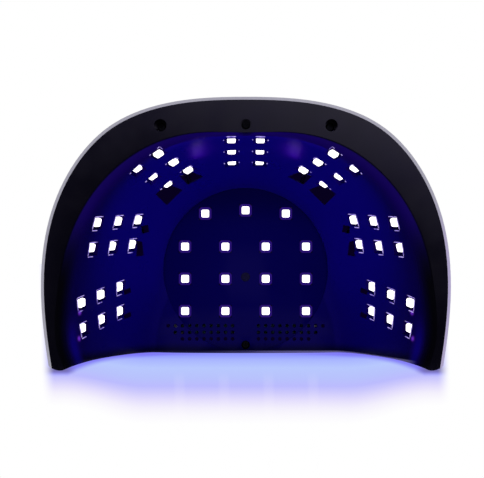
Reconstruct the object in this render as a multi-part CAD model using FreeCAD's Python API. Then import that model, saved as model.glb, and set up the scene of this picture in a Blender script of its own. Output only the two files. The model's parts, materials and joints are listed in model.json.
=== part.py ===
import FreeCAD, Part
import math
import os
from FreeCAD import Matrix, Vector

# UV LED nail lamp, millimetres. The lamp stands on a table: the table plane is z = 0, +Z is up,
# the hand opening faces -Y, the power socket faces +Y, and x = 0 is the plane of symmetry.

# ---------------------------------------------------------------- outer cover
HALF_WIDTH = 115.0
COVER_HEIGHT = 96.0
COVER_WALL = 1.6
FRONT_END = -95.0            # lofts run past the front edge and are trimmed there
# right half of the widest outline, from the back middle to the front
COVER_PLAN = [
    (0, 77), (47, 72.9), (76.5, 60.5), (98.7, 36),
    (110.5, 8), (HALF_WIDTH, -29), (112.4, -62.8), (107, FRONT_END),
]
SHRINK_FROM_Y = -25.0        # behind this line the plan also shrinks in y as it rises
BACK_DEPTH = COVER_PLAN[0][1] - SHRINK_FROM_Y
# side profile of the cover: (how far in, height)
COVER_PROFILE = [
    (0, 0), (0.3, 15), (1.4, 30), (3.8, 45), (8.2, 60), (14.5, 73), (22, 83), (31, 90),
    (42, COVER_HEIGHT - 1.5), (50, COVER_HEIGHT),
]

# front edge in plan: rounded foot tips with a shallow wave between them
TIP_CENTRE = (104.4, -69.0)
TIP_RADIUS = 8.0
TIP_TURN = 255.0             # where the tip's round meets the wave, degrees from +X
FRONT_EDGE = [(96.5, -75.4), (91, -74.3), (82, -73.6), (60, -74.0), (30, -74.5), (0, -74.6)]
# prisms that trim the lofts reach past them by this much, and start this far below the table plane
TRIM_REACH = 130.0
TRIM_BACK = 90.0
TRIM_BELOW = -5.0

# ---------------------------------------------------------------- inner housing
HOUSING_GAP = 0.1            # between the cover and the housing
FLANGE = 2.4                 # thickness of the flat rim
FASCIA = 2.2                 # thickness of the front frame
HOUSING_WALL = 2.0
HOUSING_SETBACK = 1.2        # the housing's front frame stands this far behind the cover's edge
CEILING = 72.0
DISC_RADIUS = 50.7
DISC_CENTRE_Y = -22.0
DISC_STEP = 0.8
CEILING_TOP = CEILING + DISC_STEP + HOUSING_WALL
# right half of the cavity: plan position at the table plane, and at 60 mm height
WALL_FOOT = [
    (0, 56.7), (24.7, 55.5), (51.5, 47), (77.4, 28.6), (90.9, 9.2),
    (99.3, -14), (103.1, -40), (102.8, -62), (98, -76), (91, FRONT_END),
]
WALL_HEAD = [
    (0, 36), (18.9, 32.8), (36.5, 23.1), (49.7, 7.9), (56.9, -10.9),
    (61, -31), (66.5, -50), (68, -64), (67.5, -76), (66, FRONT_END),
]
WALL_HEAD_Z = 60.0
# rounding of the rim's inner edge, as a share of the full rounding, at each point of the plan
EDGE_ROUNDING = [0.1, 0.5, 1.1, 0.95, 0.95, 1, 1, 1, 1, 1]
EDGE_LEVELS = [(0, 3.6), (1.2, 2.0), (3.2, 0.7), (7, 0)]
WALL_LEVELS = [16, 32, 46, 56]
COVE_LEVELS = [(63, 0.6), (68, 2.0), (71, 4.2), (CEILING, 6.8)]

# ---------------------------------------------------------------- lights
WINDOW = 7.8
COLLAR = 10.6
PACKAGE = 5.0
PACKAGE_HEIGHT = 1.2
CEILING_LENS = 4.7
WALL_LENS = 4.8
WALL_LENS_PROUD = 0.6        # how far a wall lens stands out of the lens plane
LENS_HEIGHT = 1.5
BOARD = 1.6
# wall boards: the middle of the lens plane; azimuth of the upward slope, slope and roll in
# degrees; distance between rows, and between the two columns
WALL_BOARDS = {
    "back": ((0, 47.8, 27.0), -90.0, 71.4, 0.0, 16.55, 16.55),
    "shoulder": ((47.8, 37.1, 22.9), -114.3, 66.4, -18.5, 17.3, 15.5),
    "side": ((75.9, 0.1, 27.3), -155.0, 56.7, -17.6, 17.3, 15.5),
    "front_side": ((84.4, -42.8, 30.6), 191.9, 59.3, -20.1, 17.3, 15.5),
}
BOARD_MARGIN = 4.2           # from the outer lights to the edge of a wall board
# open pockets beside the top lights of a wall board: the light's column, and corners in plan from it
POCKETS = {
    "shoulder": [
        (1, [(7.9, -4.9), (1.2, -11.9), (-8.4, -2.6), (-1, 0)]),
        (-1, [(5.4, -3), (1, -7.5), (-8.6, -2.6), (-1, 0)]),
    ],
    "side": [
        (1, [(-2.4, 2.4), (-5.3, 1.8), (-5.9, -6.5), (-1.8, -7.1)]),
        (-1, [(-1, -3.5), (-5, -2.5), (-5.4, -6.8), (-1.5, -8)]),
    ],
    "front_side": [
        (1, [(-1.8, -2.4), (-5.6, -0.6), (-6, -3.6), (-2.4, -5)]),
        (-1, [(-1.8, -2.4), (-5.6, -0.6), (-6, -3.6), (-2.4, -5)]),
    ],
}
POCKET_DEPTH = (-3.0, 18.0)  # below and above the light
CEILING_LIGHTS = [(x, y) for y in (-47.5, -27.5, -7.5) for x in (-37.5, -12.5, 12.5, 37.5)]
CEILING_LIGHTS += [(-25, 13), (0, 15), (25, 13)]
CEILING_BOARD_Z = CEILING_TOP + 1.6
CEILING_BOARD_FRONT = -53.5
CEILING_SCREWS = [(x, y) for x in (-25, 25) for y in (-17.5, -37.5)]

# ---------------------------------------------------------------- small features of the housing
VENT_RADIUS = 1.15
VENT_PITCH = 4.43
VENT_START = 8.0
VENT_ROWS = [(-56.5, 10), (-60.6, 9), (-64.6, 8)]
SENSOR_Y = -26.3
SENSOR_RADIUS = 2.8

# ---------------------------------------------------------------- screws
SCREW_HEAD = 2.5
SCREW_HEAD_HEIGHT = 1.9
SCREW_SHANK = 1.45
SCREW_LENGTH = 10.0
POST = 3.6
LIP_POST = 2.6
SEAT_POST_FRONT = 59.2       # the rear middle post is flat here, clear of the back light board
WELL_RADIUS = 3.5
WELL_FLOOR = 14.0
WELLS = [(-48, 61), (48, 61)]
SEAT = (0, 61.5)
SEAT_FLOOR = 2.4
LIP_SCREW = (0, -68.4)
LIP_FLOOR = 76.5
SCREW_SEAT = 2.0             # thickness of the plastic under a screw head
SMALL_HEAD = 1.9
SMALL_HEAD_HEIGHT = 1.2
SMALL_SHANK = 0.97
SMALL_LENGTH = 2.7

# ---------------------------------------------------------------- controls
CONTROL_BOARD_Z = 82.0
CONTROL_BOARD_HALF = 48.0
CONTROL_BOARD_FRONT = -62.0
CONTROL_BOARD_BACK = -8.0
CONTROL_TOP = CONTROL_BOARD_Z + BOARD
CONTROL_POSTS = [(x, y) for x in (-44, 44) for y in (-58, -12)]
CONTROL_POST = 3.0
POST_BORE = 1.0
BOARD_HOLE = 1.2
CAPACITORS = [(-38, -33), (-28, -33)]
CAPACITOR = (4.0, 8.4)       # radius, height
INDUCTOR = (33, -33)
INDUCTOR_SIZE = (5.5, 6.5)
TRANSISTORS = [(-40, -19), (-30, -19), (30, -19), (40, -19)]
CHIP_Y = -16.55
CHIP_PINS = 7
CHIP_PITCH = 1.27
COVER_UNDER = COVER_HEIGHT - COVER_WALL
BUTTON_X = [-36, -12, 12, 36]
BUTTON_Y = -50.0
BUTTON_RADIUS = 5.5
BUTTON_GAP = 0.2
BUTTON_PROUD = 1.2
BUTTON_FLANGE = 6.8
BUTTON_STEM = 2.2
SWITCH = 6.0
SWITCH_HEIGHT = 3.8
PLUNGER = 1.7
PLUNGER_TOP = CONTROL_TOP + 6.2
DISPLAY_Y = -28.0
DISPLAY_SIZE = (44.0, 17.0)
DISPLAY_MODULE = (34.0, 14.0, 8.6)
DIGIT_PITCH = 10.5
# air slots in the top of the cover: how many a side, first place, pitch; front and back ends
SLOT_COUNT = 6
SLOT_START = 11.0
SLOT_PITCH = 5.5
SLOT_ENDS = ((14, -0.9), (30, -1.6))
SLOT_HALF_WIDTH = 1.0

# ---------------------------------------------------------------- power socket
SOCKET_Z = 32.0
SOCKET_FACE = 73.2           # bottom of the round recess in the cover
SOCKET_PAD = 3.0
SOCKET_NOSE = 3.9
SOCKET_BORE = 2.85
SOCKET_DEPTH = 9.5
SOCKET_BODY = (9.0, 13.0, 11.0)
SOCKET_RECESS = 7.0
CONTACT_X = 2.9
PIN_RADIUS = 1.0
PIN_RECESS = 1.0

UP = Vector(0, 0, 1)


def box(x0, x1, y0, y1, z0, z1):
    return Part.makeBox(x1 - x0, y1 - y0, z1 - z0, Vector(x0, y0, z0))


def rod(x, y, z0, z1, radius):
    return Part.makeCylinder(radius, z1 - z0, Vector(x, y, z0), UP)


def rounded_plate(x0, x1, y0, y1, z0, z1, radius):
    plate = box(x0, x1, y0, y1, z0, z1)
    uprights = [e for e in plate.Edges if abs(e.Vertexes[0].Z - e.Vertexes[1].Z) > (z1 - z0) / 2]
    return plate.makeFillet(radius, uprights)


def mirrored(points):
    """The full outline, right front to left front, from its right half."""
    right = list(reversed(points))
    return right + [(-x, y) for x, y in points[1:]]


def section(points, z):
    """A closed wire: a smooth curve through the mirrored points, closed by a straight front."""
    full = [Vector(x, y, z) for x, y in mirrored(points)]
    curve = Part.BSplineCurve()
    curve.interpolate(full)
    return Part.Wire([curve.toShape(), Part.makeLine(full[-1], full[0])])


def loft(sections):
    return Part.makeLoft(sections, True, False)


# ---------------------------------------------------------------- outer cover volumes
def cover_section(inset, z):
    points = []
    for x, y in COVER_PLAN:
        new_y = y
        if y > SHRINK_FROM_Y:
            new_y = SHRINK_FROM_Y + (y - SHRINK_FROM_Y) * (1 - inset / BACK_DEPTH)
        points.append((x * (1 - inset / HALF_WIDTH), new_y))
    return section(points, z)


def cover_volume(thickness):
    """The cover's outer volume moved in by a thickness, square to its side profile."""
    sections = []
    last = len(COVER_PROFILE) - 1
    for k, (inset, z) in enumerate(COVER_PROFILE):
        before = COVER_PROFILE[max(k - 1, 0)]
        after = COVER_PROFILE[min(k + 1, last)]
        run = after[0] - before[0]
        rise = after[1] - before[1]
        length = math.hypot(run, rise)
        if k == 0:
            run, rise, length = 0, 1, 1
        if k == last:
            run, rise, length = 1, 0, 1
        sections.append(cover_section(inset + thickness * rise / length, z - thickness * run / length))
    return loft(sections)


def front_profile(setback):
    """Everything behind the front edge, as an upright prism that trims the lofts."""
    cx, cy = TIP_CENTRE
    radius = TIP_RADIUS - setback * 0.3
    side = cx + radius
    turn = math.radians(TIP_TURN)
    low = (cx + radius * math.cos(turn), cy + radius * math.sin(turn))

    def at(x, y):
        return Vector(x, y, TRIM_BELOW)

    edge = [low] + [(x, y + setback) for x, y in FRONT_EDGE]
    wave = Part.BSplineCurve()
    wave.interpolate([at(x, y) for x, y in edge] + [at(-x, y) for x, y in reversed(edge[:-1])])
    wire = Part.Wire([
        Part.makeLine(at(side, TRIM_BACK), at(side, cy)),
        Part.Arc(at(side, cy), at(cx, cy - radius), at(*low)).toShape(),
        wave.toShape(),
        Part.Arc(at(-low[0], low[1]), at(-cx, cy - radius), at(-side, cy)).toShape(),
        Part.makeLine(at(-side, cy), at(-side, TRIM_BACK)),
        Part.makeLine(at(-side, TRIM_BACK), at(side, TRIM_BACK)),
    ])
    height = COVER_HEIGHT - 2 * TRIM_BELOW
    # the widest part of the cover lies outside the foot tips, so the prism widens behind them
    wide = box(-TRIM_REACH, TRIM_REACH, cy, TRIM_BACK, TRIM_BELOW, TRIM_BELOW + height)
    return Part.Face(wire).extrude(UP * height).fuse(wide).removeSplitter()


# ---------------------------------------------------------------- cavity volumes
def plan_normals(points):
    """Unit outward normals of the right half of an outline, at each of its points."""
    normals = []
    for k in range(len(points)):
        before = points[k - 1] if k else (-points[1][0], points[1][1])
        after = points[min(k + 1, len(points) - 1)]
        tangent = Vector(after[0] - before[0], after[1] - before[1], 0)
        normal = Vector(-tangent.y, tangent.x, 0)
        normals.append(normal.normalize())
    return normals


def cavity_section(z, outward, rounding=0.0):
    """Right half of the wall outline at a height, moved outward; rounding adds the soft rim edge."""
    points = []
    normals = plan_normals(WALL_FOOT)
    for k, foot in enumerate(WALL_FOOT):
        head = WALL_HEAD[k]
        share = z / WALL_HEAD_Z
        move = outward + rounding * EDGE_ROUNDING[k]
        x = foot[0] + (head[0] - foot[0]) * share + normals[k].x * move
        y = foot[1] + (head[1] - foot[1]) * share + normals[k].y * move
        points.append((0 if k == 0 else x, y))
    return points


def cavity_volume(outward, raised):
    """The hand cavity, or with a positive outward move the outside of its walls."""
    sections = [section(cavity_section(-4, outward, EDGE_LEVELS[0][1] + 1.5), -4)]
    for z, rounding in EDGE_LEVELS:
        sections.append(section(cavity_section(z, outward, rounding), z))
    for z in WALL_LEVELS:
        sections.append(section(cavity_section(z, outward), z))
    for z, inward in COVE_LEVELS:
        sections.append(section(cavity_section(z, outward - inward), z + raised))
    return loft(sections)


# ---------------------------------------------------------------- board frames
class Place:
    """A frame on a wall board: row runs up the slope, column across it, out points behind the wall."""

    def __init__(self, centre, azimuth, slope, roll, row_pitch, column_pitch, mirror):
        a, t, r = (math.radians(v) for v in (azimuth, slope, roll))
        up = Vector(math.cos(t) * math.cos(a), math.cos(t) * math.sin(a), math.sin(t))
        across = Vector(-math.sin(a), math.cos(a), 0)
        row = up * math.cos(r) + across * math.sin(r)
        column = up * -math.sin(r) + across * math.cos(r)
        self.centre = Vector(*centre)
        self.row = row
        self.column = column
        self.half_length = row_pitch
        self.half_width = column_pitch / 2
        self.lights = [(i * row_pitch, j * column_pitch / 2) for i in (-1, 0, 1) for j in (-1, 1)]
        self.bosses = [(i * row_pitch / 2, 0) for i in (-1, 1)]
        if mirror:
            for v in (self.centre, self.row, self.column):
                v.x = -v.x
        out = self.row.cross(self.column)
        if out.z < 0:
            out = out * -1
        self.out = out

    def matrix(self):
        """Moves a shape drawn with x along the row and z along out, to this place."""
        across = self.out.cross(self.row)
        c = self.centre
        return Matrix(
            self.row.x, across.x, self.out.x, c.x,
            self.row.y, across.y, self.out.y, c.y,
            self.row.z, across.z, self.out.z, c.z,
            0, 0, 0, 1,
        )

    def put(self, shape):
        return shape.transformed(self.matrix())


def wall_places():
    places = {}
    for name, values in WALL_BOARDS.items():
        if name == "back":
            places[name] = Place(*values, False)
            continue
        places["left_" + name] = Place(*values, True)
        places["right_" + name] = Place(*values, False)
    return places


# distances behind the lens plane, along a board's out direction
PACKAGE_FACE = LENS_HEIGHT
BOARD_FACE = PACKAGE_FACE + PACKAGE_HEIGHT


def lens_shape(size, proud=0.0):
    """A square pillow lens on its package at z = LENS_HEIGHT; its apex stands out of z = 0."""
    half = size / 2
    body = box(-half, half, -half, half, -proud, LENS_HEIGHT)
    uprights = [e for e in body.Edges if abs(e.Vertexes[0].Z - e.Vertexes[1].Z) > LENS_HEIGHT / 2]
    body = body.makeFillet(0.9, uprights)
    crown = [e for e in body.Edges if all(abs(v.Z + proud) < 1e-6 for v in e.Vertexes)]
    return body.makeFillet(0.85, crown)


def package_shape():
    half = PACKAGE / 2
    body = box(-half, half, -half, half, PACKAGE_FACE, BOARD_FACE)
    uprights = [e for e in body.Edges if abs(e.Vertexes[0].Z - e.Vertexes[1].Z) > PACKAGE_HEIGHT / 2]
    return body.makeChamfer(0.3, uprights)


def shifted(shape, x, y, z=0.0):
    return shape.translated(Vector(x, y, z))


# ---------------------------------------------------------------- parts
def make_top_cover(outer, inner, profile):
    cover = outer.common(profile)
    cover = cover.cut(inner)
    posts = []
    for x, y in WELLS:
        posts.append(rod(x, y, WELL_FLOOR + SCREW_SEAT, COVER_HEIGHT, POST))
    posts.append(rod(LIP_SCREW[0], LIP_SCREW[1], LIP_FLOOR + SCREW_SEAT, COVER_HEIGHT, LIP_POST))
    seat_top = SEAT_FLOOR + SCREW_SEAT
    seat_post = rod(SEAT[0], SEAT[1], seat_top, seat_top + 14, POST)
    posts.append(seat_post.common(box(-POST, POST, SEAT_POST_FRONT, 80, 0, 30)))
    posts.append(box(-1.5, 1.5, SEAT[1], 80, seat_top + 2, seat_top + 14))
    for x, y in CONTROL_POSTS:
        posts.append(rod(x, y, CONTROL_TOP, COVER_HEIGHT, CONTROL_POST))
    pad = box(-9, 9, SOCKET_FACE - SOCKET_PAD, 80, SOCKET_Z - 8, SOCKET_Z + 8)
    posts.append(pad)
    cover = cover.fuse([p.common(outer) for p in posts])
    cuts = []
    for x, y in WELLS:
        floor = WELL_FLOOR + SCREW_SEAT
        cuts.append(rod(x, y, floor - 1, floor + SCREW_LENGTH, SCREW_SHANK + 0.05))
    cuts.append(rod(SEAT[0], SEAT[1], seat_top - 1, seat_top + SCREW_LENGTH, SCREW_SHANK + 0.05))
    lip_top = LIP_FLOOR + SCREW_SEAT
    cuts.append(rod(LIP_SCREW[0], LIP_SCREW[1], lip_top - 1, lip_top + SCREW_LENGTH, SCREW_SHANK + 0.05))
    for x, y in CONTROL_POSTS:
        cuts.append(rod(x, y, CONTROL_TOP - 1, CONTROL_TOP + SMALL_LENGTH + 1, POST_BORE))
    for x in BUTTON_X:
        cuts.append(rod(x, BUTTON_Y, COVER_UNDER - 2, COVER_HEIGHT + 2, BUTTON_RADIUS + BUTTON_GAP))
    w, d = DISPLAY_SIZE
    front, back = DISPLAY_Y - d / 2, DISPLAY_Y + d / 2
    cuts.append(rounded_plate(-w / 2, w / 2, front, back, COVER_UNDER - 3, COVER_HEIGHT + 3, 2.5))
    along = Vector(0, 1, 0)
    cuts.append(Part.makeCylinder(SOCKET_RECESS, 10, Vector(0, SOCKET_FACE, SOCKET_Z), along))
    cuts.append(Part.makeCylinder(SOCKET_NOSE + 0.1, 20, Vector(0, SOCKET_FACE - 10, SOCKET_Z), along))
    (front, front_step), (back, back_step) = SLOT_ENDS
    w = SLOT_HALF_WIDTH
    for k in range(SLOT_COUNT):
        y0 = front + front_step * k
        y1 = back + back_step * k
        for side in (-1, 1):
            x = side * (SLOT_START + SLOT_PITCH * k)
            cuts.append(rounded_plate(x - w, x + w, y0, y1, COVER_UNDER - 14, COVER_HEIGHT + 3, w - 0.05))
    return cover.cut(cuts)


def light_pockets(places):
    """Upright openings in the walls above the top lights of the wall boards."""
    below, above = POCKET_DEPTH
    pockets = []
    for name, place in places.items():
        side = -1 if name.startswith("left_") else 1
        for sign, corners in POCKETS.get(name.split("_", 1)[-1], []):
            light = place.centre + place.row * place.half_length + place.column * (place.half_width * sign)
            points = [light + Vector(side * x, y, below) for x, y in corners]
            face = Part.Face(Part.makePolygon(points + points[:1]))
            pockets.append(face.extrude(UP * (above - below)))
    return pockets


def make_housing(cavity, cavity_outside, places):
    block = cover_volume(COVER_WALL + HOUSING_GAP).common(front_profile(HOUSING_SETBACK))
    flange = box(-TRIM_REACH, TRIM_REACH, FRONT_END, TRIM_BACK, 0, FLANGE)
    fascia = box(-TRIM_REACH, TRIM_REACH, FRONT_END, TRIM_BACK, 0, COVER_HEIGHT)
    fascia = fascia.cut(front_profile(HOUSING_SETBACK + FASCIA))
    skin = block.common(flange.fuse([fascia, cavity_outside]))
    extras = []
    for x, y in WELLS:
        extras.append(rod(x, y, 0, WELL_FLOOR + SCREW_SEAT, WELL_RADIUS + 1.5))
    extras.append(rod(SEAT[0], SEAT[1], 0, SEAT_FLOOR + SCREW_SEAT, 5.2))
    extras.append(rod(LIP_SCREW[0], LIP_SCREW[1], CEILING + 1, LIP_FLOOR + SCREW_SEAT, 4.6).common(block))
    for x, y in CEILING_LIGHTS:
        half = COLLAR / 2
        extras.append(box(x - half, x + half, y - half, y + half, CEILING_TOP - 0.5, CEILING_BOARD_Z))
    for x, y in CEILING_SCREWS:
        extras.append(rod(x, y, CEILING_TOP - 0.5, CEILING_BOARD_Z, 2.6))
    half = COLLAR / 2
    for place in places.values():
        for x, y in place.lights:
            collar = box(x - half, x + half, y - half, y + half, -8, BOARD_FACE)
            extras.append(place.put(collar))
        for x, y in place.bosses:
            extras.append(place.put(rod(x, y, -8, BOARD_FACE, 2.6)))
    housing = skin.fuse(extras)
    cuts = [cavity]
    cuts.append(rod(0, DISC_CENTRE_Y, CEILING - 4, CEILING + DISC_STEP, DISC_RADIUS))
    housing = housing.cut(cuts)
    holes = light_pockets(places)
    half = WINDOW / 2
    for x, y in CEILING_LIGHTS:
        holes.append(box(x - half, x + half, y - half, y + half, CEILING - 5, CEILING_BOARD_Z + 1))
    for x, y in CEILING_SCREWS:
        holes.append(rod(x, y, CEILING_BOARD_Z - SMALL_LENGTH - 0.1, CEILING_BOARD_Z + 1, POST_BORE))
    for place in places.values():
        for x, y in place.lights:
            holes.append(place.put(box(x - half, x + half, y - half, y + half, -12, BOARD_FACE + 1)))
        for x, y in place.bosses:
            holes.append(place.put(rod(x, y, BOARD_FACE - SMALL_LENGTH - 0.1, BOARD_FACE + 1, POST_BORE)))
        length = place.half_length + BOARD_MARGIN + 0.2
        width = place.half_width + BOARD_MARGIN + 0.2
        holes.append(place.put(box(-length, length, -width, width, BOARD_FACE, BOARD_FACE + 14)))
    for y, count in VENT_ROWS:
        for k in range(count):
            x = VENT_START + k * VENT_PITCH
            for side in (-1, 1):
                holes.append(rod(side * x, y, CEILING - 3, CEILING_TOP + 2, VENT_RADIUS))
    holes.append(rod(0, SENSOR_Y, CEILING - 3, CEILING_TOP + 2, SENSOR_RADIUS))
    for x, y in WELLS:
        holes.append(rod(x, y, -1, WELL_FLOOR, WELL_RADIUS))
        holes.append(rod(x, y, -1, WELL_FLOOR + 5, SCREW_SHANK + 0.15))
    holes.append(rod(SEAT[0], SEAT[1], -1, SEAT_FLOOR, SCREW_HEAD + 0.5))
    holes.append(rod(SEAT[0], SEAT[1], -1, SEAT_FLOOR + 5, SCREW_SHANK + 0.15))
    holes.append(rod(LIP_SCREW[0], LIP_SCREW[1], CEILING - 3, LIP_FLOOR, SCREW_HEAD + 0.2))
    holes.append(rod(LIP_SCREW[0], LIP_SCREW[1], CEILING - 3, LIP_FLOOR + 5, SCREW_SHANK + 0.15))
    holes.append(rod(LIP_SCREW[0], LIP_SCREW[1], LIP_FLOOR + SCREW_SEAT, COVER_HEIGHT, LIP_POST + 0.1))
    return housing.cut(holes)


def make_wall_board(place):
    half_l = place.half_length + BOARD_MARGIN
    half_w = place.half_width + BOARD_MARGIN
    plate = rounded_plate(-half_l, half_l, -half_w, half_w, BOARD_FACE, BOARD_FACE + BOARD, 1.5)
    holes = [rod(x, y, BOARD_FACE - 1, BOARD_FACE + BOARD + 1, BOARD_HOLE) for x, y in place.bosses]
    return place.put(plate.cut(holes))


def make_ceiling_board():
    z0, z1 = CEILING_BOARD_Z, CEILING_BOARD_Z + BOARD
    disc = rod(0, DISC_CENTRE_Y, z0, z1, DISC_RADIUS - 2.7)
    plate = disc.common(box(-60, 60, CEILING_BOARD_FRONT, 60, z0, z1))
    return plate.cut([rod(x, y, z0 - 1, z1 + 1, BOARD_HOLE) for x, y in CEILING_SCREWS])


def small_screw():
    """A pan-head screw hanging along -z from the underside of its head at z = 0."""
    head = rod(0, 0, 0, SMALL_HEAD_HEIGHT, SMALL_HEAD)
    rims = [e for e in head.Edges if all(abs(v.Z - SMALL_HEAD_HEIGHT) < 1e-6 for v in e.Vertexes)]
    head = head.makeFillet(0.5, [e for e in rims if e.Curve.TypeId == "Part::GeomCircle"])
    slot = box(-1.1, 1.1, -0.25, 0.25, SMALL_HEAD_HEIGHT - 0.6, SMALL_HEAD_HEIGHT + 1)
    cross = box(-0.25, 0.25, -1.1, 1.1, SMALL_HEAD_HEIGHT - 0.6, SMALL_HEAD_HEIGHT + 1)
    shank = rod(0, 0, -BOARD - SMALL_LENGTH, 0, SMALL_SHANK)
    return head.fuse(shank).cut([slot, cross])


def housing_screw():
    """A housing screw driven upwards: the head's seat is at z = 0 and the shank points up."""
    head = rod(0, 0, -SCREW_HEAD_HEIGHT, 0, SCREW_HEAD)
    rims = [e for e in head.Edges if all(abs(v.Z + SCREW_HEAD_HEIGHT) < 1e-6 for v in e.Vertexes)]
    head = head.makeFillet(0.8, [e for e in rims if e.Curve.TypeId == "Part::GeomCircle"])
    slot = box(-1.6, 1.6, -0.4, 0.4, -SCREW_HEAD_HEIGHT - 1, -SCREW_HEAD_HEIGHT + 1)
    cross = box(-0.4, 0.4, -1.6, 1.6, -SCREW_HEAD_HEIGHT - 1, -SCREW_HEAD_HEIGHT + 1)
    shank = rod(0, 0, 0, SCREW_LENGTH, SCREW_SHANK)
    return head.fuse(shank).cut([slot, cross])


def make_button(x):
    cap = rod(x, BUTTON_Y, COVER_UNDER - 1.2, COVER_HEIGHT + BUTTON_PROUD, BUTTON_RADIUS)
    top = [e for e in cap.Edges if all(abs(v.Z - COVER_HEIGHT - BUTTON_PROUD) < 1e-6 for v in e.Vertexes)]
    cap = cap.makeFillet(0.7, [e for e in top if e.Curve.TypeId == "Part::GeomCircle"])
    flange = rod(x, BUTTON_Y, COVER_UNDER - 1.3, COVER_UNDER - 0.1, BUTTON_FLANGE)
    stem = rod(x, BUTTON_Y, PLUNGER_TOP + 0.02, COVER_UNDER - 0.5, BUTTON_STEM)
    return cap.fuse([flange, stem]).removeSplitter()


def make_switch_body(x):
    half = SWITCH / 2
    top = CONTROL_TOP + SWITCH_HEIGHT
    body = rounded_plate(x - half, x + half, BUTTON_Y - half, BUTTON_Y + half, CONTROL_TOP, top, 0.5)
    return body.cut(rod(x, BUTTON_Y, CONTROL_TOP + 1.2, top + 1, PLUNGER + 0.05))


def make_plunger(x):
    return rod(x, BUTTON_Y, CONTROL_TOP + 2.2, PLUNGER_TOP, PLUNGER)


def make_display_window():
    w, d = DISPLAY_SIZE
    gap = 0.1
    lens = rounded_plate(-w / 2 + gap, w / 2 - gap, DISPLAY_Y - d / 2 + gap, DISPLAY_Y + d / 2 - gap,
                         COVER_UNDER - 0.6, COVER_HEIGHT - 0.2, 2.4)
    flange = rounded_plate(-w / 2 - 2.5, w / 2 + 2.5, DISPLAY_Y - d / 2 - 2.5, DISPLAY_Y + d / 2 + 2.5,
                           COVER_UNDER - 1.3, COVER_UNDER - 0.05, 3.5)
    return lens.fuse(flange).removeSplitter()


def make_display_module():
    w, d, h = DISPLAY_MODULE
    body = box(-w / 2, w / 2, DISPLAY_Y - d / 2, DISPLAY_Y + d / 2, CONTROL_TOP, CONTROL_TOP + h)
    face = CONTROL_TOP + h
    slots = []
    # each digit has three level strokes and four upright ones: place, half width, half depth
    strokes = [(0, dy, 2.2, 0.45) for dy in (-4.6, 0, 4.6)]
    strokes += [(dx, dy, 0.45, 1.7) for dx in (-2.9, 2.9) for dy in (-2.3, 2.3)]
    for digit in (-1, 0, 1):
        for dx, dy, half_w, half_d in strokes:
            x = digit * DIGIT_PITCH + dx
            y = DISPLAY_Y + dy
            slots.append(box(x - half_w, x + half_w, y - half_d, y + half_d, face - 0.3, face + 1))
    return body.cut(slots)


def make_control_board():
    plate = rounded_plate(-CONTROL_BOARD_HALF, CONTROL_BOARD_HALF, CONTROL_BOARD_FRONT, CONTROL_BOARD_BACK,
                          CONTROL_BOARD_Z, CONTROL_TOP, 2)
    z0, z1 = CONTROL_BOARD_Z - 1, CONTROL_TOP + 1
    return plate.cut([rod(x, y, z0, z1, BOARD_HOLE) for x, y in CONTROL_POSTS])


def make_capacitors():
    cans = []
    radius, height = CAPACITOR
    for x, y in CAPACITORS:
        can = rod(x, y, CONTROL_TOP, CONTROL_TOP + height, radius)
        groove = rod(x, y, CONTROL_TOP + 1.2, CONTROL_TOP + 1.8, radius + 1)
        groove = groove.cut(rod(x, y, CONTROL_TOP, CONTROL_TOP + 3, radius - 0.3))
        cans.append(can.cut(groove))
    return cans


def make_inductor():
    x, y = INDUCTOR
    radius, height = INDUCTOR_SIZE
    core = rod(x, y, CONTROL_TOP, CONTROL_TOP + height, radius)
    waist = rod(x, y, CONTROL_TOP + 1.4, CONTROL_TOP + height - 1.4, radius + 1)
    waist = waist.cut(rod(x, y, CONTROL_TOP, CONTROL_TOP + height, radius - 0.9))
    return core.cut(waist)


def make_transistors():
    bodies = []
    for x, y in TRANSISTORS:
        package = box(x - 3.3, x + 3.3, y - 3, y + 3, CONTROL_TOP, CONTROL_TOP + 2.3)
        metal = [box(x - 2.7, x + 2.7, y + 3, y + 4.4, CONTROL_TOP, CONTROL_TOP + 0.6)]
        for side in (-1, 1):
            leg = x + side * 2.3
            metal.append(box(leg - 0.4, leg + 0.4, y - 5.4, y - 3, CONTROL_TOP, CONTROL_TOP + 0.6))
        bodies.append(package.fuse(metal))
    return bodies


def make_controller_chip():
    front, back = CHIP_Y - 1.95, CHIP_Y + 1.95
    body = box(-5, 5, front, back, CONTROL_TOP + 0.1, CONTROL_TOP + 1.7)
    legs = []
    for k in range(CHIP_PINS):
        x = (k - (CHIP_PINS - 1) / 2) * CHIP_PITCH
        legs.append(box(x - 0.2, x + 0.2, front - 1.1, front, CONTROL_TOP, CONTROL_TOP + 0.9))
        legs.append(box(x - 0.2, x + 0.2, back, back + 1.1, CONTROL_TOP, CONTROL_TOP + 0.9))
    return body.fuse(legs)


# wire runs end at plugs: on the control board, and on the back of each light board
PLUG = (7.0, 5.0, 3.4)
PLUG_INSET = 3.0             # from the last row of lights to the middle of a wall board's plug
CEILING_PLUG_Y = 7.0         # back face of the ceiling board's plug
WIRE = 0.6
LEAD = 0.75
WIRE_SPREAD = 1.2            # from a plug's middle to each of its two wires
WIRE_HEIGHT = 1.7            # of a wire's middle above its plug's base


def control_plugs():
    """Middle of each plug's base on the control board, and the direction its wires leave in."""
    back_y = CONTROL_BOARD_BACK - PLUG[1] / 2 - 0.3
    side_x = CONTROL_BOARD_HALF - PLUG[1] / 2 - 0.3
    plugs = {}
    for name, x in (("back", 10), ("power", -10), ("ceiling", 0)):
        plugs[name] = ((x, back_y), (0, 1))
    for name, side in (("left_", -1), ("right_", 1)):
        plugs[name + "shoulder"] = ((side * 24, back_y), (0, 1))
        plugs[name + "side"] = ((side * side_x, -30), (side, 0))
        plugs[name + "front_side"] = ((side * side_x, -42), (side, 0))
    return plugs


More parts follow.
